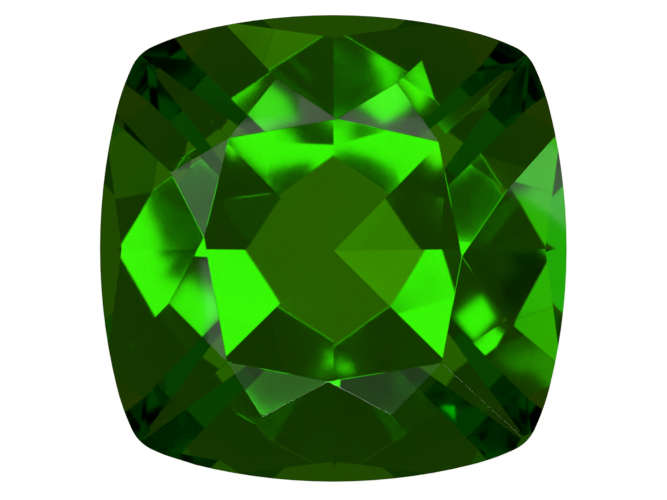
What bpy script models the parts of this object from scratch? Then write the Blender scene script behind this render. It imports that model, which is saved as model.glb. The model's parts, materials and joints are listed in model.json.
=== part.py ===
"""A faceted chrome diopside: a 7 mm square cushion brilliant, lying loose on one facet of its underside.

The stone is cut here the way a lapidary cuts it. A blank with the cushion outline is made first, and
then each flat facet takes off what lies outside it. The cutting is done with the table up and the
culet down, and zero height is where the crown meets the girdle at the middle of a side. The finished
stone is turned at the end, so that it lies on the floor at Z = 0 with its table leaning towards -Y.
"""

import math

import bmesh
import bpy
from mathutils import Matrix, Vector

MM = 0.001

# The outline: half of the width across the flats, then three arcs from the middle of a side to a corner
HALF_WIDTH = 3.5 * MM
SHOULDER_RADIUS = 3.5 * MM
CORNER_RADIUS = 0.63 * MM
SHOULDER_STARTS = 14.0
CORNER_STARTS = 25.0
CORNER_MIDDLE = 45.0
ARC_STEPS = (7, 5, 4)

# The blank that the stone is cut from reaches a little past its table and its culet
BLANK_TOP = 1.5 * MM
BLANK_BOTTOM = -4.0 * MM

# The crown seen from above, in millimetres: the corners of the table, counterclockwise from the middle of
# the right side, and the outer tips of the stars between them. A stone cut by hand is never quite even,
# and these are the places where this one's facets meet.
TABLE_HEIGHT = 0.9555 * MM
TABLE_CORNERS = (
    (1.924, -0.144),
    (1.576, 1.570),
    (0.056, 1.910),
    (-1.553, 1.626),
    (-1.926, 0.140),
    (-1.582, -1.720),
    (-0.067, -2.011),
    (1.625, -1.737),
)
STAR_TIPS = (
    (2.601, 0.860),
    (0.948, 2.458),
    (-0.847, 2.527),
    (-2.428, 1.116),
    (-2.453, -0.837),
    (-1.062, -2.536),
    (0.878, -2.507),
    (2.596, -1.085),
)
# How high the corner facets meet the outline's corners, above where the side mains meet its sides
CORNER_RISE = 0.175 * MM

# The pavilion: eight mains that meet in the culet, and shallow breaks that even out the girdle
CULET_DEPTH = 3.43 * MM
PAVILION_ANGLE = 42.6
PAVILION_TURN = 22.5
BREAK_ANGLE = 55.0
BREAK_TURN = 7.5
GIRDLE_AT_SIDES = 0.12 * MM

# Two small bevels where the edge of the crown was touched up by hand:
# the direction each one faces, its slope, and how far out and how high it passes
TOUCH_UPS = (
    (257.0, 45.0, 3.49 * MM, 0.195 * MM),
    (313.0, 50.0, 4.00 * MM, 0.212 * MM),
)

# How the loose stone lies: on the pavilion main that faces this way, which is turned to -Y
RESTING_FACET = -90.0 - PAVILION_TURN

SIDES = (0.0, 90.0, 180.0, 270.0)
SNAP = 0.001 * MM
# Only the girdle stands upright, and it is round, so its faces are shaded smooth and the facets flat
UPRIGHT = 0.01


def direction(degrees):
    """The level direction at this many degrees from +X."""
    angle = math.radians(degrees)
    return Vector((math.cos(angle), math.sin(angle), 0.0))


def octant():
    """Points from the middle of the right side to the upper right corner, on three arcs that run into
    each other. The side's radius is the one that brings the last point onto the diagonal."""
    starts = [math.radians(a) for a in (0.0, SHOULDER_STARTS, CORNER_STARTS, CORNER_MIDDLE)]
    across = HALF_WIDTH
    along = 0.0
    for radius, first, last in ((SHOULDER_RADIUS, 1, 2), (CORNER_RADIUS, 2, 3)):
        across -= radius * (math.cos(starts[first]) - math.cos(starts[last]))
        along += radius * (math.sin(starts[last]) - math.sin(starts[first]))
    side_radius = (across - along) / (math.sin(starts[1]) + 1.0 - math.cos(starts[1]))
    points = []
    centre = Vector((HALF_WIDTH - side_radius, 0.0))
    previous = side_radius
    for index, radius in enumerate((side_radius, SHOULDER_RADIUS, CORNER_RADIUS)):
        first, last = starts[index], starts[index + 1]
        centre += (previous - radius) * Vector((math.cos(first), math.sin(first)))
        previous = radius
        for step in range(ARC_STEPS[index]):
            angle = first + (last - first) * step / ARC_STEPS[index]
            points.append(centre + radius * Vector((math.cos(angle), math.sin(angle))))
    points.append(centre + CORNER_RADIUS * Vector((math.cos(starts[3]), math.sin(starts[3]))))
    return points


def outline():
    """The whole cushion outline, counterclockwise: one octant, mirrored, then turned four times."""
    first = octant()
    mirrored = [Vector((point.y, point.x)) for point in reversed(first[:-1])]
    quarter = (first + mirrored)[:-1]
    return [Matrix.Rotation(math.radians(side), 2) @ point for side in SIDES for point in quarter]


def make_blank():
    """The preform: a straight-sided prism of the outline, taller than the finished stone."""
    blank = bmesh.new()
    base = [blank.verts.new((point.x, point.y, BLANK_BOTTOM)) for point in outline()]
    floor = blank.faces.new(base)
    raised = bmesh.ops.extrude_face_region(blank, geom=[floor])["geom"]
    top = [item for item in raised if isinstance(item, bmesh.types.BMVert)]
    bmesh.ops.translate(blank, verts=top, vec=(0.0, 0.0, BLANK_TOP - BLANK_BOTTOM))
    bmesh.ops.recalc_face_normals(blank, faces=blank.faces[:])
    return blank


def cut(stone, through, outward):
    """Cuts one flat facet: what lies outside the plane goes, and the opening is closed flat."""
    everything = stone.verts[:] + stone.edges[:] + stone.faces[:]
    made = bmesh.ops.bisect_plane(
        stone, geom=everything, dist=SNAP, plane_co=through, plane_no=outward, clear_outer=True
    )
    rim = [item for item in made["geom_cut"] if isinstance(item, bmesh.types.BMEdge)]
    rim = [edge for edge in rim if edge.is_boundary]
    if rim:
        bmesh.ops.edgeloop_fill(stone, edges=rim)


def slope(angle, azimuth, upward):
    """The outward direction of a facet tilted this far from level: a crown facet looks up (1), a
    pavilion facet down (-1)."""
    tilt = math.radians(angle)
    return direction(azimuth) * math.sin(tilt) + Vector((0.0, 0.0, upward * math.cos(tilt)))


def pairs(turn):
    """The directions that lie this far to each side of the middle of every side."""
    return [side + sign * turn for side in SIDES for sign in (-1.0, 1.0)]


def at_height(place, height):
    """A point of the crown from its place in millimetres as seen from above, and its height."""
    return Vector((place[0] * MM, place[1] * MM, height))


def plane_through(first, second, third):
    """The outward direction of the crown plane through three points: it looks up."""
    outward = (second - first).cross(third - first).normalized()
    return outward if outward.z > 0.0 else -outward


def cut_crown(stone):
    """The side mains rise from the girdle to the table, which sets the heights of the star tips. Each
    corner facet passes through a tip, a table corner and a corner of the outline, each star through a tip
    and two table corners, and the table is cut last."""
    table = [at_height(place, TABLE_HEIGHT) for place in TABLE_CORNERS]
    tips = []
    for index, place in enumerate(STAR_TIPS):
        side = (index + 1) // 2 % len(SIDES)
        out = direction(SIDES[side])
        rise = TABLE_HEIGHT / (HALF_WIDTH - table[2 * side].dot(out))
        tips.append(at_height(place, rise * (HALF_WIDTH - at_height(place, 0.0).dot(out))))
    for side, azimuth in enumerate(SIDES):
        level = table[2 * side] + direction(azimuth + 90.0) * MM
        cut(stone, table[2 * side], plane_through(table[2 * side], level, tips[2 * side]))
    corner = octant()[-1]
    for quarter, azimuth in enumerate(SIDES):
        reach = Matrix.Rotation(math.radians(azimuth), 3, "Z") @ Vector((corner.x, corner.y, CORNER_RISE))
        for tip in (tips[2 * quarter], tips[2 * quarter + 1]):
            cut(stone, reach, plane_through(table[2 * quarter + 1], tip, reach))
    for index, tip in enumerate(tips):
        following = table[(index + 1) % len(table)]
        cut(stone, tip, plane_through(table[index], following, tip))
    cut(stone, table[0], Vector((0.0, 0.0, 1.0)))


def cut_pavilion(stone):
    """Eight mains through the culet, then two breaks at each side, which leave the girdle even."""
    for azimuth in pairs(PAVILION_TURN):
        cut(stone, Vector((0.0, 0.0, -CULET_DEPTH)), slope(PAVILION_ANGLE, azimuth, -1.0))
    for side in SIDES:
        under_girdle = direction(side) * HALF_WIDTH + Vector((0.0, 0.0, -GIRDLE_AT_SIDES))
        for sign in (-1.0, 1.0):
            cut(stone, under_girdle, slope(BREAK_ANGLE, side + sign * BREAK_TURN, -1.0))


def touch_up_girdle(stone):
    """The hand-cut bevels, thin crescents because the outline curves away from each flat cut."""
    for azimuth, angle, out, height in TOUCH_UPS:
        through = direction(azimuth) * out + Vector((0.0, 0.0, height))
        cut(stone, through, slope(angle, azimuth, 1.0))


def lay_down(stone):
    """Turns the resting facet to face -Y and tips it flat, then puts the middle of its box over the
    origin and its lowest points at Z = 0."""
    turn = Matrix.Rotation(math.radians(-90.0 - RESTING_FACET), 3, "Z")
    tip = Matrix.Rotation(math.radians(PAVILION_ANGLE), 3, "X")
    bmesh.ops.rotate(stone, cent=(0.0, 0.0, 0.0), matrix=tip @ turn, verts=stone.verts[:])
    columns = list(zip(*(vert.co for vert in stone.verts)))
    middle = [(min(column) + max(column)) / 2.0 for column in columns]
    shift = Vector((-middle[0], -middle[1], -min(columns[2])))
    bmesh.ops.translate(stone, verts=stone.verts[:], vec=shift)


def diopside_material():
    """Clear, deep green pyroxene with a glassy polish."""
    material = bpy.data.materials.new("chrome_diopside")
    material.use_nodes = True
    shader = material.node_tree.nodes["Principled BSDF"]
    shader.inputs["Base Color"].default_value = (0.02, 0.32, 0.01, 1.0)
    shader.inputs["Roughness"].default_value = 0.02
    shader.inputs["Metallic"].default_value = 0.0
    shader.inputs["IOR"].default_value = 1.68
    shader.inputs["Transmission Weight"].default_value = 1.0
    return material


def build_stone():
    stone = make_blank()
    cut_crown(stone)
    cut_pavilion(stone)
    touch_up_girdle(stone)
    bmesh.ops.remove_doubles(stone, verts=stone.verts[:], dist=SNAP)
    bmesh.ops.dissolve_degenerate(stone, edges=stone.edges[:], dist=SNAP)
    bmesh.ops.recalc_face_normals(stone, faces=stone.faces[:])
    for face in stone.faces:
        face.smooth = abs(face.normal.z) < UPRIGHT
    lay_down(stone)
    mesh = bpy.data.meshes.new("diopside")
    stone.to_mesh(mesh)
    stone.free()
    mesh.materials.append(diopside_material())
    diopside = bpy.data.objects.new("diopside", mesh)
    bpy.context.scene.collection.objects.link(diopside)


for old in list(bpy.data.objects):
    bpy.data.objects.remove(old, do_unlink=True)
build_stone()
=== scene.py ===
# %% [markdown]
# # A cut chrome diopside on a light table
#
# The object is one gemstone: clear, deep green diopside, ground and polished as a square cushion
# brilliant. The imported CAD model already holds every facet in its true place, so this script takes the
# shape from there and adds what makes a stone look cut by hand: edges that are a hair less than sharp,
# a girdle that is only finely ground, polish, and crystal that takes more of red and blue light than of
# green. The model comes first, because everything below is placed round it.

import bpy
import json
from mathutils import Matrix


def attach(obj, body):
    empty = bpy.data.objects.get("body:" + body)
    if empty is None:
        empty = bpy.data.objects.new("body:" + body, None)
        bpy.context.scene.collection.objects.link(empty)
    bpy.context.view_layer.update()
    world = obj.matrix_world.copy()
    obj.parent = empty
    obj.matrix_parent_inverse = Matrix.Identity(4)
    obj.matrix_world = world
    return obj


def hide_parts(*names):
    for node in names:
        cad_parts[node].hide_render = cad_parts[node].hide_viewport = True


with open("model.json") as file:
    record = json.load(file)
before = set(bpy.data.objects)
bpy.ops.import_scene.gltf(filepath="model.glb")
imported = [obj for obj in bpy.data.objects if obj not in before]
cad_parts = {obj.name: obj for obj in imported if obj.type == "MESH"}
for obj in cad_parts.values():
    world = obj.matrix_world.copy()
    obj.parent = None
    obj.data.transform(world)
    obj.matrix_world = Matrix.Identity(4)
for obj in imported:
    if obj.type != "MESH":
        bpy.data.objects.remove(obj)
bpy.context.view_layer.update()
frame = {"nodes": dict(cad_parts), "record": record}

# %% [markdown]
# ## The stone's own directions
#
# The cutter thinks of a stone with its table up, but this one lies on a facet of its underside. A frame
# with its third axis along the table's normal makes the rest easy: the photographer looked straight down
# on the table, and each lamp can be placed by how far it stands off that line. Two turns bring the
# upright stone into the lying one, the same two that laid it down.

# %% Axes of the stone
import json
import math

import bmesh
import bpy
from mathutils import Matrix, Vector

MM = 0.001
LAID_TURN = 22.5
LAID_TIP = 42.6

tip_over = Matrix.Rotation(math.radians(LAID_TIP), 3, "X")
stone_axes = tip_over @ Matrix.Rotation(math.radians(LAID_TURN), 3, "Z")
mounts = {mount["name"]: mount for mount in frame["record"]["mounts"]}
table_normal = Vector(mounts["table"]["axis"])
table_middle = Vector(mounts["table"]["pos_m"])
print("table tilt error, degrees", round(math.degrees(table_normal.angle(stone_axes.col[2])), 3))

# %% [markdown]
# ## Three helpers
#
# Colours are written as hex codes, the way a picture program shows them, and shaders want linear light,
# so one function turns one into the other. Another adds a shader node: it sets the node's own settings,
# then fills each socket with a value or joins it to another node's output. The third starts a material
# without any node.

# %% Colour and node helpers


def linear(hex_code):
    """An sRGB hex code as linear red, green, blue and 1."""
    parts = [int(hex_code[start:start + 2], 16) / 255.0 for start in (0, 2, 4)]
    return [p / 12.92 if p <= 0.04045 else ((p + 0.055) / 1.055) ** 2.4 for p in parts] + [1.0]


def add_node(tree, kind, sockets=None, **settings):
    """One more node in the tree."""
    node = tree.nodes.new(kind)
    for name, value in settings.items():
        setattr(node, name, value)
    for name, value in (sockets or {}).items():
        if isinstance(value, bpy.types.NodeSocket):
            tree.links.new(value, node.inputs[name])
        else:
            node.inputs[name].default_value = value
    return node


def new_material(name):
    """An empty material and its node tree."""
    material = bpy.data.materials.new(name)
    material.use_nodes = True
    material.node_tree.nodes.clear()
    return material, material.node_tree


# %% [markdown]
# ## The cut stone
#
# The facets are the whole shape of a cut stone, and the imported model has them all. A CAD node arrives as
# loose triangles, though, and a strip can only be cut along a true edge. So a copy of it is merged, and
# the triangles of each flat facet are dissolved into one face. The node itself isn't changed.

# %% Merge the facets
FLAT = 0.2
MERGE_DISTANCE = 0.0001 * MM

stone = bmesh.new()
stone.from_mesh(frame["nodes"]["diopside"].data)
bmesh.ops.remove_doubles(stone, verts=stone.verts[:], dist=MERGE_DISTANCE)
bmesh.ops.dissolve_limit(
    stone, angle_limit=math.radians(FLAT), verts=stone.verts[:], edges=stone.edges[:]
)
print("facets and girdle faces", len(stone.faces), "edges", len(stone.edges))

# %% [markdown]
# ## Facet edges with a trace of wear
#
# The edges of a real stone are never knife sharp: handling and the last polish leave a strip of a few
# thousandths of a millimetre, and it catches light as a fine line. The bevel tool could make it, but it
# keeps all its bevels as narrow as the shortest edge allows, and a girdle is full of very short edges. A
# stone is a convex body, so there is a surer way, and it is the lapidary's own: one flat cut across each
# edge. Only the crown is treated. A strip on the underside would show through the table as a bright
# line, and this stone shows none there.

# %% Ease the crown's edges
EDGE_STRIP = 0.006 * MM
SHARP = 4.0
UPRIGHT = 0.01
CUT_TOLERANCE = 0.000001 * MM


def on_girdle(face):
    """Whether the face belongs to the girdle, which stands upright to the table."""
    return abs(face.normal.dot(table_normal)) < UPRIGHT


strips = []
for edge in stone.edges:
    first, second = edge.link_faces
    if edge.calc_face_angle() < math.radians(SHARP) or on_girdle(first) or on_girdle(second):
        continue
    between = (first.normal + second.normal).normalized()
    if between.dot(table_normal) < 0.0:
        continue
    depth = EDGE_STRIP / 2.0 * math.tan(edge.calc_face_angle() / 2.0)
    strips.append((edge.verts[0].co - between * depth, between))
for through, outward in strips:
    geometry = stone.verts[:] + stone.edges[:] + stone.faces[:]
    made = bmesh.ops.bisect_plane(
        stone,
        geom=geometry,
        dist=CUT_TOLERANCE,
        plane_co=through,
        plane_no=outward,
        clear_outer=True,
    )
    rim = [item for item in made["geom_cut"] if isinstance(item, bmesh.types.BMEdge)]
    rim = [edge for edge in rim if edge.is_boundary]
    if rim:
        bmesh.ops.edgeloop_fill(stone, edges=rim)
print("edges eased", len(strips), "faces now", len(stone.faces))

# %% [markdown]
# ## One closed mesh that stands for the CAD node
#
# The facets are shaded flat, because each of them is a mirror. The girdle is round, so its narrow faces
# are shaded smooth. A number on each face says whether it is girdle, for the material to read later. The
# last lines hide the CAD node, which this mesh stands for, and hang the mesh on the body that it moves
# with.

# %% Finish the mesh
open_edges = [edge for edge in stone.edges if not edge.is_manifold]
for face in stone.faces:
    face.smooth = on_girdle(face)
cut_mesh = bpy.data.meshes.new("cut_stone")
stone.to_mesh(cut_mesh)
ground = cut_mesh.attributes.new("ground", "FLOAT", "FACE")
ground.data.foreach_set("value", [1.0 if on_girdle(face) else 0.0 for face in stone.faces])
print("open edges", len(open_edges), "volume in cubic mm", round(stone.calc_volume() * 1e9, 3))
stone.free()

cut_stone = bpy.data.objects.new("cut_stone", cut_mesh)
bpy.context.scene.collection.objects.link(cut_stone)
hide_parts("diopside")
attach(cut_stone, "root")

# %% [markdown]
# ## Chrome diopside, cut and polished
#
# Diopside is a clear calcium magnesium silicate, and a trace of chromium makes it green. The colour is
# not on the surface but in the body: light is filtered all along its way through the stone, so short
# ways stay vivid and long ones go nearly black. A volume absorption shader does just that. How much is
# taken from red, green and blue is written for a way of 3.5 mm, half of the stone's width.

# %% How the crystal filters light
WAY = 3.5 * MM
TAKEN = (1.36, 0.16, 2.60)
REFRACTIVE_INDEX = 1.685

strongest = max(TAKEN)
crystal, tree = new_material("chrome_diopside_polished")
filtering = add_node(
    tree,
    "ShaderNodeVolumeAbsorption",
    {
        "Color": [1.0 - value / strongest for value in TAKEN] + [1.0],
        "Density": strongest / WAY,
    },
)
print("left of red, green and blue after one way", [round(math.exp(-value), 2) for value in TAKEN])

# %% [markdown]
# ## Polish that is not quite flat
#
# A facet is polished by hand on a turning lap, and comes out very slightly domed and wavy. The waves are
# far too low to see on the surface, less than a tenth of a degree, but light that crosses the stone
# meets three or four facets, and each one that mirrors it doubles the error. That is one reason why
# bright patches inside a real stone have soft, curved borders. The normal of the surface is leaned by a
# smooth noise a millimetre and a half across, which costs no geometry.

# %% Waves of the polish
WAVE_SIZE = 1.5 * MM
WAVE_LEAN = 0.005
NOISE_MEAN = (0.5, 0.5, 0.5)

place = add_node(tree, "ShaderNodeTexCoord")
surface = add_node(tree, "ShaderNodeNewGeometry")
waves = add_node(
    tree,
    "ShaderNodeTexNoise",
    {"Vector": place.outputs["Object"], "Scale": 1.0 / WAVE_SIZE, "Detail": 1.0},
)
centred = add_node(
    tree, "ShaderNodeVectorMath", {0: waves.outputs["Color"], 1: NOISE_MEAN}, operation="SUBTRACT"
)
wave_lean = add_node(
    tree,
    "ShaderNodeVectorMath",
    {"Vector": centred.outputs["Vector"], "Scale": WAVE_LEAN},
    operation="SCALE",
)
print("waves of the polish, mm across", round(WAVE_SIZE / MM, 2))

# %% [markdown]
# ## The ground girdle
#
# The girdle is left as the grinding wheel made it: satin, with the marks of grit of about 20 micrometres.
# Those are smaller than a pixel, so they are drawn three times coarser. They lean the normal much more
# than the polish does, and they make the satin uneven. The face attribute from above tells the shader
# where the girdle is, so one material serves the whole closed body. The facets get a trace of roughness
# too, the haze that the finest powder on the lap leaves. It softens the small patches deep in the stone,
# and is far too little to dull the shine.

# %% Grit marks and roughness
GRIT_SIZE = 0.06 * MM
GRIT_LEAN = 0.5
SATIN = (0.30, 0.50)
NOISE_LOW, NOISE_HIGH = 0.3, 0.7
LAP_HAZE = 0.025

masks = add_node(tree, "ShaderNodeAttribute", attribute_name="ground")
grit = add_node(
    tree,
    "ShaderNodeTexNoise",
    {"Vector": place.outputs["Object"], "Scale": 1.0 / GRIT_SIZE, "Detail": 3.0},
)
off_centre = add_node(
    tree, "ShaderNodeVectorMath", {0: grit.outputs["Color"], 1: NOISE_MEAN}, operation="SUBTRACT"
)
grit_amount = add_node(
    tree, "ShaderNodeMath", {0: masks.outputs["Fac"], 1: GRIT_LEAN}, operation="MULTIPLY"
)
grit_lean = add_node(
    tree,
    "ShaderNodeVectorMath",
    {"Vector": off_centre.outputs["Vector"], "Scale": grit_amount.outputs["Value"]},
    operation="SCALE",
)
satin = add_node(
    tree,
    "ShaderNodeMapRange",
    {
        "Value": grit.outputs["Fac"],
        "From Min": NOISE_LOW,
        "From Max": NOISE_HIGH,
        "To Min": SATIN[0],
        "To Max": SATIN[1],
    },
)
rough = add_node(
    tree,
    "ShaderNodeMath",
    {0: masks.outputs["Fac"], 1: satin.outputs["Result"], 2: LAP_HAZE},
    operation="MULTIPLY_ADD",
)
print("grit marks, mm across", round(GRIT_SIZE / MM, 2))

# %% [markdown]
# ## The surface and the body together
#
# The principled shader bends and mirrors light at the surface, and the absorption fills the body. A
# polished crystal has no colour of its own on the surface, so the base colour stays white.

# %% Join the parts of the material
leaned = add_node(
    tree,
    "ShaderNodeVectorMath",
    {0: wave_lean.outputs["Vector"], 1: grit_lean.outputs["Vector"]},
    operation="ADD",
)
bent = add_node(
    tree,
    "ShaderNodeVectorMath",
    {0: surface.outputs["Normal"], 1: leaned.outputs["Vector"]},
    operation="ADD",
)
unit = add_node(tree, "ShaderNodeVectorMath", {0: bent.outputs["Vector"]}, operation="NORMALIZE")
polished = add_node(
    tree,
    "ShaderNodeBsdfPrincipled",
    {
        "Base Color": linear("ffffff"),
        "Roughness": rough.outputs["Value"],
        "IOR": REFRACTIVE_INDEX,
        "Transmission Weight": 1.0,
        "Normal": unit.outputs["Vector"],
    },
)
add_node(
    tree,
    "ShaderNodeOutputMaterial",
    {"Surface": polished.outputs["BSDF"], "Volume": filtering.outputs["Volume"]},
)
cut_mesh.materials.append(crystal)
print("material", crystal.name, "nodes", len(tree.nodes))

# %% [markdown]
# ## The light table
#
# Loose stones are often photographed on a sheet of opal acrylic that is lit from below. It keeps the
# ground white and lets hardly any shadow stand. Milky plastic is never quite even, so its glow varies by
# a few percent over some centimetres. The thin corners of the stone would let the white through and turn
# pale, but in the picture they are dark, so the sheet is a ground for the camera only: the facets don't
# mirror it, and it doesn't shine into the body. A glowing sheet can't take a shadow either, so a painted
# shadow dims its glow in a small round where the stone covers it, and seen from the side that painted
# shadow shows where the stone rests.

# %% Floor
GLOW = (0.96, 1.00)
CLOUD_SIZE = 40.0 * MM
PAINTED_SHADOW_PART = 0.3
PAINTED_SHADOW_INNER = 1.45 * MM
PAINTED_SHADOW_OUTER = 2.0 * MM
SHEET_RADIUS = 1.5
SHEET_STEPS = 96
FLOOR_GAP = 0.003 * MM

acrylic, tree = new_material("opal_acrylic_sheet")
place = add_node(tree, "ShaderNodeTexCoord")
milk = add_node(
    tree,
    "ShaderNodeTexNoise",
    {"Vector": place.outputs["Object"], "Scale": 1.0 / CLOUD_SIZE, "Detail": 2.0},
)
glow = add_node(
    tree, "ShaderNodeMapRange", {"Value": milk.outputs["Fac"], "To Min": GLOW[0], "To Max": GLOW[1]}
)
from_stone = add_node(
    tree, "ShaderNodeVectorMath", {"Vector": place.outputs["Object"]}, operation="LENGTH"
)
# Painted shadow: the sheet's glow falls to three tenths within 1.45 mm of the stone and is full again at 2
# mm.
painted_shadow = add_node(
    tree,
    "ShaderNodeMapRange",
    {
        "Value": from_stone.outputs["Value"],
        "From Min": PAINTED_SHADOW_INNER,
        "From Max": PAINTED_SHADOW_OUTER,
        "To Min": PAINTED_SHADOW_PART,
    },
)
glow_with_painted_shadow = add_node(
    tree, "ShaderNodeMath", {0: glow.outputs["Result"], 1: painted_shadow.outputs["Result"]}, operation="MULTIPLY"
)
sheet = add_node(
    tree,
    "ShaderNodeBsdfPrincipled",
    {
        "Base Color": linear("f2f2f0"),
        "Roughness": 0.6,
        "Emission Color": linear("ffffff"),
        "Emission Strength": glow_with_painted_shadow.outputs["Value"],
    },
)
add_node(tree, "ShaderNodeOutputMaterial", {"Surface": sheet.outputs["BSDF"]})

ground_plane = bmesh.new()
bmesh.ops.create_circle(ground_plane, cap_ends=True, segments=SHEET_STEPS, radius=SHEET_RADIUS)
bmesh.ops.translate(ground_plane, verts=ground_plane.verts[:], vec=(0.0, 0.0, -FLOOR_GAP))
floor_mesh = bpy.data.meshes.new("light_table")
ground_plane.to_mesh(floor_mesh)
ground_plane.free()
floor_mesh.materials.append(acrylic)
light_table = bpy.data.objects.new("light_table", floor_mesh)
light_table.visible_glossy = False
light_table.visible_transmission = False
bpy.context.scene.collection.objects.link(light_table)
print("floor", light_table.name, "radius in m", SHEET_RADIUS)

# %% [markdown]
# ## Where lamps stand, as the stone sees them
#
# A brilliant cut throws light from the front back to the front. Seen from above the table, each patch
# inside it shows a small piece of the room within twenty degrees of the lens. So every lamp is placed by
# its angles to the right of the table's normal and above it, as the photographer sees them.

# %% Directions from the stone
STUDIO_DISTANCE = 245.0 * MM
CROWN_DEPTH = 0.9555 * MM

stone_middle = table_middle - table_normal * CROWN_DEPTH


def off_axis(right, up):
    """The direction that stands this many degrees to the right of the table's normal and above it."""
    away = math.radians(math.hypot(right, up))
    turn = math.atan2(up, right)
    local = Vector((math.sin(away) * math.cos(turn), math.sin(away) * math.sin(turn), math.cos(away)))
    return stone_axes @ local


def half_size(degrees, distance):
    """Half of the width of something that looks this many degrees wide from this far away."""
    return distance * math.tan(math.radians(degrees / 2.0))


print("middle of the stone in mm", [round(value / MM, 3) for value in stone_middle])

# %% [markdown]
# ## What a lamp's front looks like
#
# The front of a soft box is cloth with a coarse weave, a few percent brighter here and darker there, and
# it fades over the last bit before its border. Paper and card are as uneven. Every lamp and card is a
# flat mesh that glows, rather than a lamp object, because the facets show it as a shape. The render finds
# it by the rays that leave the stone, so it needn't aim at it, and that saves a quarter of the time.

# %% Glow of cloth, paper and card
CARD_GRAIN = 6.0 * MM
UNEVENNESS = 0.07


def glowing(name, tint, radiance, half, edge):
    """The glow of a card with this half width and height, which fades to nothing over its edge."""
    material, tree = new_material(name)
    place = add_node(tree, "ShaderNodeTexCoord")
    cloth = add_node(
        tree,
        "ShaderNodeTexNoise",
        {"Vector": place.outputs["Object"], "Scale": 1.0 / CARD_GRAIN, "Detail": 2.0},
    )
    strength = add_node(
        tree,
        "ShaderNodeMapRange",
        {
            "Value": cloth.outputs["Fac"],
            "To Min": (1.0 - UNEVENNESS) * radiance,
            "To Max": (1.0 + UNEVENNESS) * radiance,
        },
    ).outputs["Result"]
    if edge:
        axes = add_node(tree, "ShaderNodeSeparateXYZ", {"Vector": place.outputs["Object"]})
        for axis, reach in zip("XY", half):
            away = add_node(tree, "ShaderNodeMath", {0: axes.outputs[axis]}, operation="ABSOLUTE")
            fade = add_node(
                tree,
                "ShaderNodeMapRange",
                {"Value": away.outputs["Value"], "From Min": reach, "From Max": reach - edge},
                interpolation_type="SMOOTHSTEP",
            )
            strength = add_node(
                tree, "ShaderNodeMath", {0: strength, 1: fade.outputs["Result"]}, operation="MULTIPLY"
            ).outputs["Value"]
    light = add_node(tree, "ShaderNodeEmission", {"Color": linear(tint), "Strength": strength})
    add_node(tree, "ShaderNodeOutputMaterial", {"Surface": light.outputs["Emission"]})
    material.cycles.emission_sampling = "NONE"
    return material


print("grain of the cards in mm", round(CARD_GRAIN / MM, 1))

# %% [markdown]
# ## Hanging a lamp
#
# A facet shows two pictures laid over each other: light that has crossed the body, and the gloss on top.
# A lamp that is right for one often spoils the other. Here each lamp can be kept out of either, because
# Blender tells apart the rays of transmission from the glossy ones. The lens itself never sees a lamp.

# %% Lamps and cards


def hang(name, shape, material, centre, facing, roll=0.0, in_body=True, in_mirror=True):
    """Hangs a flat shape that faces along a line from the stone, out of the lens's own sight."""
    mesh = bpy.data.meshes.new(name)
    shape.to_mesh(mesh)
    shape.free()
    mesh.materials.append(material)
    across = stone_axes.col[1].cross(facing).normalized()
    turn = Matrix((across, facing.cross(across), facing)).transposed()
    rolled = turn @ Matrix.Rotation(math.radians(roll), 3, "Z")
    card = bpy.data.objects.new(name, mesh)
    card.matrix_world = Matrix.Translation(centre) @ rolled.to_4x4()
    card.visible_camera = False
    card.visible_shadow = False
    card.visible_diffuse = in_body and in_mirror
    card.visible_transmission = in_body
    card.visible_glossy = in_mirror
    bpy.context.scene.collection.objects.link(card)


def rectangle(half):
    """A flat rectangle from its half width and half height."""
    shape = bmesh.new()
    bmesh.ops.create_grid(shape, x_segments=1, y_segments=1, size=1.0)
    bmesh.ops.scale(shape, verts=shape.verts[:], vec=(half[0], half[1], 1.0))
    return shape


def soft_box(name, right, up, width, height, radiance, tint, edge=0.0, **seen):
    """A soft box; its place, its size and the width of its fading border are in degrees."""
    half = (half_size(width, STUDIO_DISTANCE), half_size(height, STUDIO_DISTANCE))
    border = STUDIO_DISTANCE * math.tan(math.radians(edge))
    facing = off_axis(right, up)
    centre = stone_middle + facing * STUDIO_DISTANCE
    hang(name, rectangle(half), glowing(name, tint, radiance, half, border), centre, facing, **seen)
    print(name, "mm across", round(2000.0 * half[0], 1), "by", round(2000.0 * half[1], 1))


# %% [markdown]
# ## Soft boxes round the lens
#
# Two boxes stand side by side just above the lens and a small one hangs below it. They light the bright
# patches in the corners of the table. The right one is the taller: its upper end is what the left side of
# the stone shows, and the right side would show the same part of the left box, which is not there, so
# that side stays dark.

# %% Key lights
KEY = 1.6
KEY_TINT = "f2ffff"

soft_box("left_soft_box", -6.1, 4.4, 12.7, 9.6, KEY, KEY_TINT, edge=0.8)
soft_box("right_soft_box", 6.4, 5.5, 12.3, 11.6, KEY, KEY_TINT, edge=0.8)
soft_box("low_soft_box", -2.4, -8.6, 5.2, 4.6, KEY, KEY_TINT, edge=0.4)

# %% [markdown]
# ## Warm cards farther out
#
# Sheets of brass and copper foil throw warm light, and filtered by the stone it comes out as the light
# olive of the brighter quarter of the middle, of the sides and of the upper facets. Each is as large as
# the patch that it fills, and the stone's own facets cut it to shape. The columns are the place and the
# size in degrees, the strength, the tint and the width of the fading border.

# %% Brass and copper cards
BRASS = "ff9549"
FOIL = "ff9650"
STRAW = "fff186"
WARM_CARDS = (
    ("brass_card", -14.2, 7.2, 3.8, 3.8, 1.5, BRASS, 0.5),
    ("low_brass_card", -15.9, -5.3, 3.8, 3.8, 1.15, BRASS, 0.5),
    ("high_copper_card", 30.2, 12.0, 5.0, 4.0, 0.85, STRAW, 0.8),
    ("top_card", -10.1, 32.1, 6.0, 4.0, 0.9, FOIL, 0.8),
    ("top_low_card", -13.0, 21.9, 4.0, 4.0, 0.9, FOIL, 0.8),
    ("left_card", -29.2, 11.6, 5.0, 4.0, 0.40, "ff9a4c", 0.8),
    ("copper_card", 33.2, -10.5, 5.0, 5.5, 0.85, STRAW, 1.0),
)

for card in WARM_CARDS:
    soft_box(*card, in_mirror=False)

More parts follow.
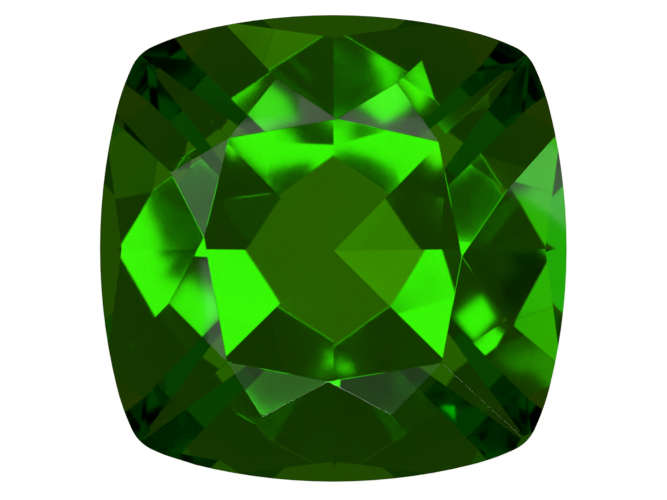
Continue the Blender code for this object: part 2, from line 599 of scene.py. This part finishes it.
# %% [markdown]
# ## Windows that only show as veils
#
# The pale veils on the star facets are plain mirror images of windows far to the side, the same grey as
# the windows and without any green. They are lit apart from the body of the stone here, so each facet
# gets the veil that it has and nothing else changes. The last two windows are placed for edges, not for
# facets: the eased strips of the lower right ridge and of the lower rims of the two bottom stars catch
# them as fine lines.

# %% Veils
WINDOW_GREY = "eef0ec"


def veil(name, polar, azimuth, width, height, radiance):
    """A window seen in a facet's mirror, this far off the normal and in this direction round it."""
    turn = math.radians(azimuth)
    right, up = polar * math.cos(turn), polar * math.sin(turn)
    soft_box(name, right, up, width, height, radiance, WINDOW_GREY, in_body=False)


veil("left_upper_window", 47.0, 164.0, 3.6, 3.6, 0.75)
veil("top_left_window", 53.8, 99.7, 3.0, 3.0, 0.15)
veil("top_right_window", 50.0, 78.0, 6.0, 5.0, 0.25)
veil("low_left_window", 51.0, 258.0, 4.0, 4.0, 0.30)
veil("low_right_window", 52.0, 279.0, 4.0, 4.0, 0.22)
veil("ridge_window", 50.0, 315.0, 8.0, 8.0, 1.4)
veil("bottom_edge_window", 58.5, 269.0, 9.0, 4.0, 3.0)

# %% [markdown]
# ## The lens
#
# The front of the lens is dark, and the stone shows it as the four dark patches of the table. Its inner
# tube gives them a faint brown. In the flat mirror of the table only the black plate round the lens
# shows, so the table has no veil.

# %% Lens front
LENS_RADIUS = 17.0 * MM
BLACK_RADIUS = 2.0 * LENS_RADIUS
LENS_GAP = 3.0 * MM
LENS_PLACE = (0.3, -1.3)
CIRCLE_STEPS = 64
NO_EDGE = (0.0, 0.0)


def round_plate(radius):
    """A flat round plate."""
    shape = bmesh.new()
    bmesh.ops.create_circle(shape, cap_ends=True, segments=CIRCLE_STEPS, radius=radius)
    return shape


facing = off_axis(*LENS_PLACE)
centre = stone_middle + facing * (STUDIO_DISTANCE - LENS_GAP)
tube = glowing("lens_tube", "8b4510", 1.0, NO_EDGE, 0.0)
black = glowing("black_paint", "080808", 0.1, NO_EDGE, 0.0)
hang("lens_tube", round_plate(LENS_RADIUS), tube, centre, facing, in_mirror=False)
hang("lens_black", round_plate(BLACK_RADIUS), black, centre, facing, in_body=False)
print("lens radius in degrees", round(math.degrees(math.atan(LENS_RADIUS / STUDIO_DISTANCE)), 1))

# %% [markdown]
# ## The card round the lens
#
# A brown card with a round hole keeps stray light away from the camera, and it gives the olive tone to
# the middle of the stone. Such a ring is a short line, turned once about the table's normal. The spin
# tool does that, and a full turn has to be merged where its end meets its start.

# %% The brown card
CARD_INNER = 13.6
CARD_OUTER = 20.5
FULL_TURN = math.radians(360.0)


def spin_full(shape, line):
    """Turns a line of vertices and edges once about the third axis."""
    middle, axis = (0.0, 0.0, 0.0), (0.0, 0.0, 1.0)
    bmesh.ops.spin(
        shape, geom=line, cent=middle, axis=axis, angle=FULL_TURN, steps=CIRCLE_STEPS, use_merge=True
    )


ring = bmesh.new()
radii = [STUDIO_DISTANCE * math.tan(math.radians(angle)) for angle in (CARD_INNER, CARD_OUTER)]
start = [ring.verts.new((radius, 0.0, 0.0)) for radius in radii]
spin_full(ring, start + [ring.edges.new(start)])
brown = glowing("brown_card", "e17940", 1.0, NO_EDGE, 0.0)
above = stone_middle + table_normal * STUDIO_DISTANCE
hang("brown_card", ring, brown, above, table_normal, in_mirror=False)
print("brown card, radii in mm", [round(radius / MM, 1) for radius in radii])

# %% [markdown]
# ## Small cards close to the stone
#
# Photographers of small shiny things hold bits of white and dark card on wires close to them, because a
# card four centimetres away reaches one facet and leaves its neighbours alone. This list is for light
# that crosses the body. White bits brighten the star facets, the side facets and the right edge, and the
# four called eye make one soft spot at the low end of the table, which four facets share. Dark bits keep
# the other stars dark, bound the bright patch of each side, and cut the two waves at the top of the
# table. The columns are the place and size in millimetres of the stone's own frame, how far the card is
# above the stone, its turn in degrees, and its tint with its strength.

# %% Near cards for the body
NEAR = 40.0
NEARER = 25.0
NEAREST = 15.0
SOFT_BORDER = 0.06 * MM
WHITE = (KEY_TINT, KEY)
EYE = ("ffffff", 2.4)
EDGE_WHITE = ("ffffff", 0.8)
DARK = ("824814", 1.0)
DARKEST = ("3a1c08", 1.0)
DIM = ("b1703c", 1.0)
CREAM = "fff0e0"

BODY_CARDS = (
    ("right_star_black", -2.15, 2.88, 1.40, 1.20, NEAR, 0.0, DARK),
    ("left_star_black", 3.33, 1.40, 1.25, 1.20, NEAR, 0.0, DARK),
    ("low_star_dim", -3.08, 1.15, 0.95, 1.30, NEAR, 0.0, DIM),
    ("left_star_white", 1.79, -1.35, 0.82, 1.10, NEAR, 0.0, WHITE),
    ("top_left_white", -2.25, -2.58, 0.90, 0.90, NEAR, 0.0, (CREAM, 1.5)),
    ("top_right_white", 0.08, -2.28, 0.75, 0.80, NEARER, 0.0, (CREAM, 1.9)),
    ("right_star_white", -1.26, -0.59, 0.48, 0.62, NEAREST, 0.0, WHITE),
    ("right_side_black", -1.30, 7.02, 1.60, 0.85, NEAR, 0.0, DARK),
    ("right_side_middle_black", -0.30, -5.12, 0.95, 0.90, NEAR, 0.0, DARKEST),
    ("right_side_low_white", 23.25, -1.72, 0.90, 1.05, NEAR, 0.0, (STRAW, 0.7)),
    ("eye_top_left", 2.39, 0.34, 0.32, 0.18, NEAR, -40.0, EYE),
    ("eye_low_left", 1.65, -0.19, 0.34, 0.22, NEAR, -47.0, EYE),
    ("eye_top_right", -3.10, -1.02, 0.34, 0.18, NEAR, 57.0, EYE),
    ("eye_low_right", -2.41, -1.54, 0.33, 0.20, NEAR, 43.0, EYE),
    ("top_bit_left", 5.33, -1.95, 0.55, 0.40, NEAR, 0.0, WHITE),
    ("top_bit_right", 3.55, 12.40, 0.70, 0.60, NEAR, 0.0, WHITE),
    ("wave_dark_left", 3.12, 0.45, 0.65, 0.70, NEAR, 0.0, DARK),
    ("wave_dark_right", -2.65, -0.28, 0.50, 0.35, NEAR, 0.0, DARK),
    ("left_side_upper_black", 1.70, 6.88, 1.60, 0.80, NEAR, 29.4, DARK),
    ("left_side_lower_black", 0.12, -5.36, 0.65, 0.48, NEAR, 0.0, DARK),
    ("wave_left_side", 4.80, 3.30, 0.84, 1.60, NEAR, 0.0, DARK),
    ("wave_left_low", 3.17, -0.27, 1.00, 0.80, NEAR, 44.0, DARK),
    ("wave_right_low", -3.40, -0.43, 1.10, 0.70, NEAR, -24.4, DARK),
    ("right_edge_upper", 12.80, 9.70, 1.30, 1.90, NEAR, 0.0, EDGE_WHITE),
    ("right_edge_lower", 12.60, -8.80, 1.20, 1.40, NEAR, 0.0, EDGE_WHITE),
)


def near_card(name, x, y, width, height, away, roll, look, **seen):
    """A small card at a place over the stone."""
    tint, radiance = look
    centre = stone_middle + stone_axes @ Vector((x, y, away)) * MM
    half = (0.5 * width * MM, 0.5 * height * MM)
    material = glowing(name, tint, radiance, half, SOFT_BORDER)
    hang(name, rectangle(half), material, centre, table_normal, roll, **seen)


for card in BODY_CARDS:
    near_card(*card, in_mirror=False)
print("near cards for the body", len(BODY_CARDS))

# %% [markdown]
# ## Veils that cover a part of a facet
#
# Some veils stop in the middle of a star. A window is too far away for that: its image fills the facet or
# misses it. A bit of white card close by makes such a part veil, and it only shows in the mirror.

# %% Near cards for the mirror
VEIL = (WINDOW_GREY, 1.1)
PALE_VEIL = (WINDOW_GREY, 0.9)
MIRROR_CARDS = (
    ("left_star_veil", -47.60, -8.20, 0.80, 2.00, NEAR, 0.0, PALE_VEIL),
    ("top_left_veil", -9.50, 54.20, 0.90, 1.00, NEAR, 0.0, VEIL),
    ("top_left_low_veil", -10.20, 53.77, 2.20, 0.55, NEAR, 0.0, VEIL),
    ("top_right_veil", 10.60, 47.80, 2.00, 0.70, NEAR, 0.0, VEIL),
    ("right_edge_veil", 81.00, 3.38, 3.40, 1.40, NEAR, -17.4, PALE_VEIL),
)

for card in MIRROR_CARDS:
    near_card(*card, in_body=False)
print("near cards for the mirror", len(MIRROR_CARDS))

# %% [markdown]
# ## A painted pool of green light on the sheet
#
# Light that has crossed the stone lies on the sheet as a green spot, and the facet at the right edge
# shows it as a pale green band. A small glowing disc on the sheet under the stone is a painted pool of
# that green light. Only the body of the stone sees it.

# %% The painted pool of green light
PAINTED_LIGHT_PLACE = (-1.15 * MM, 1.78 * MM)
PAINTED_LIGHT_RADIUS = 0.7 * MM

# Painted light: a green glow on the sheet where the light that crossed the stone would fall.
painted_light_glow = glowing("painted_green_light", "80ff78", 0.56, NO_EDGE, 0.0)
under = Vector((PAINTED_LIGHT_PLACE[0], PAINTED_LIGHT_PLACE[1], -FLOOR_GAP / 2.0))
upwards = Vector((0.0, 0.0, 1.0))
hang("painted_green_light_disc", round_plate(PAINTED_LIGHT_RADIUS), painted_light_glow, under, upwards, in_mirror=False)
print("green spot, radius in mm", round(PAINTED_LIGHT_RADIUS / MM, 2))

# %% [markdown]
# ## The room and the paper tent
#
# A tent of brown paper hangs round the lens and the lamps, and the dark parts of the stone are its image,
# filtered green. One side of an arch is drawn and spun. It starts half a degree off the top, because a
# line that touches the axis would leave a fan of needle thin faces there, and the lens hides the small
# hole. Below the tent's rim the room is dim, and the facets don't mirror it.

# %% World and tent
TENT_RADIUS = 320.0 * MM
TENT_START = 0.5
TENT_REACH = 70.0
TENT_STEPS = 14

tent = bmesh.new()
profile = []
for step in range(TENT_STEPS + 1):
    angle = math.radians(TENT_START + TENT_REACH * step / TENT_STEPS)
    profile.append(tent.verts.new((TENT_RADIUS * math.sin(angle), 0.0, TENT_RADIUS * math.cos(angle))))
spin_full(tent, profile + [tent.edges.new(pair) for pair in zip(profile, profile[1:])])
paper = glowing("brown_paper", "824318", 1.0, NO_EDGE, 0.0)
hang("paper_tent", tent, paper, stone_middle, table_normal, in_mirror=False)

world = bpy.data.worlds.new("dim_room")
world.use_nodes = True
world.node_tree.nodes.clear()
tree = world.node_tree
air = add_node(tree, "ShaderNodeBackground", {"Color": linear("615727")})
add_node(tree, "ShaderNodeOutputWorld", {"Surface": air.outputs["Background"]})
bpy.context.scene.world = world
world.cycles_visibility.glossy = False

# %% [markdown]
# ## Camera
#
# The lens looks down on the table, a degree or so off its normal, from a quarter of a metre away. Its
# focal length is the one that brings 667 pixels onto ten millimetres at that distance. The stone isn't
# quite in the middle of the picture, so the camera is aimed a pixel or two beside it.

# %% Camera
PIXELS_PER_MM = 66.7
IMAGE_WIDTH = 667.0
SENSOR_WIDTH = 36.0
LEAN_UP = 1.3
LEAN_RIGHT = 0.3
OFF_CENTRE = (0.2, -1.7)
NEAREST_SEEN, FARTHEST_SEEN = 0.01, 10.0

lean = Matrix.Rotation(math.radians(LEAN_UP), 3, "X") @ Matrix.Rotation(math.radians(LEAN_RIGHT), 3, "Y")
camera_axes = stone_axes @ lean
camera = bpy.data.cameras.new("camera")
camera.sensor_width = SENSOR_WIDTH
camera.lens = SENSOR_WIDTH * STUDIO_DISTANCE / (IMAGE_WIDTH / PIXELS_PER_MM * MM)
camera.clip_start = NEAREST_SEEN
camera.clip_end = FARTHEST_SEEN
aim = camera_axes.col[0] * OFF_CENTRE[0] + camera_axes.col[1] * OFF_CENTRE[1]
seen = stone_middle + aim / PIXELS_PER_MM * MM
viewer = bpy.data.objects.new("camera", camera)
standing = Matrix.Translation(seen + camera_axes.col[2] * STUDIO_DISTANCE)
viewer.matrix_world = standing @ camera_axes.to_4x4()
bpy.context.scene.collection.objects.link(viewer)
bpy.context.scene.camera = viewer
print("lens in mm", round(camera.lens, 1))

# %% [markdown]
# ## Light paths and colour
#
# Light bounces several times inside a stone before it leaves. By the twelfth time hardly any is left, so
# the paths end there. Nothing is clamped and nothing is blurred, because the lamps are seen directly
# through the facets and make little noise. The standard view keeps the white of the ground white and the
# green as strong as the eye sees it.

# %% Light paths
BOUNCES = 12

cycles = bpy.context.scene.cycles
cycles.max_bounces = BOUNCES
cycles.glossy_bounces = BOUNCES
cycles.transmission_bounces = BOUNCES
cycles.sample_clamp_indirect = 0.0
cycles.blur_glossy = 0.0
bpy.context.scene.view_settings.view_transform = "Standard"
print("bounces", cycles.max_bounces)
